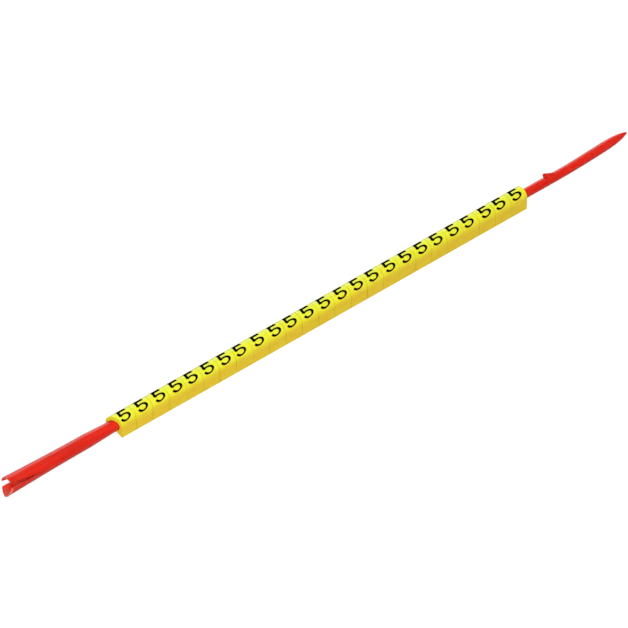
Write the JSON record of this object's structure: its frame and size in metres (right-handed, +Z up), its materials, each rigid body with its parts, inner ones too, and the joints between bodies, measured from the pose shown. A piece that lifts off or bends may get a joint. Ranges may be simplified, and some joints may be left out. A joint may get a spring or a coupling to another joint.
{
  "type": "cable marker row on loading rod",
  "caption": "Row of soft slide-on cable marker sleeves with a bell section and printed numeral, threaded on a moulded loading rod with a split feed mouth, a stop barb and a pointed tail.",
  "frame": {"origin": "on the plane of the sleeves' feet, under the middle of the whole length", "axes": "+X along the rod from the split feed mouth to the pointed tail, +Z up through the crowns of the sleeves, +Y completes the right-handed frame"},
  "size_m": [0.115, 0.0026, 0.0032],
  "materials": {
    "rod_red": "moulded, satin gloss",
    "sleeve_yellow": "soft extruded PVC, satin",
    "print_black": "printed, matt"
  },
  "bodies": {
    "rod_row": {"loading_rod": "rod_red", "marker_01": "sleeve_yellow", "marker_02": "sleeve_yellow", "marker_03": "sleeve_yellow", "marker_04": "sleeve_yellow", "marker_05": "sleeve_yellow", "marker_06": "sleeve_yellow", "marker_07": "sleeve_yellow", "marker_08": "sleeve_yellow", "marker_09": "sleeve_yellow", "marker_10": "sleeve_yellow", "marker_11": "sleeve_yellow", "marker_12": "sleeve_yellow", "marker_13": "sleeve_yellow", "marker_14": "sleeve_yellow", "marker_15": "sleeve_yellow", "marker_16": "sleeve_yellow", "marker_17": "sleeve_yellow", "marker_18": "sleeve_yellow", "marker_19": "sleeve_yellow", "marker_20": "sleeve_yellow", "marker_21": "sleeve_yellow", "marker_22": "sleeve_yellow", "marker_23": "sleeve_yellow", "marker_24": "sleeve_yellow"},
    "last_marker": {"marker_25": "sleeve_yellow"}
  },
  "joints": [
    {"name": "last_marker_slide", "type": "slide", "parent": "rod_row", "child": "last_marker", "axis": [1, 0, 0], "range_m": [0, 0.00465]}
  ]
}
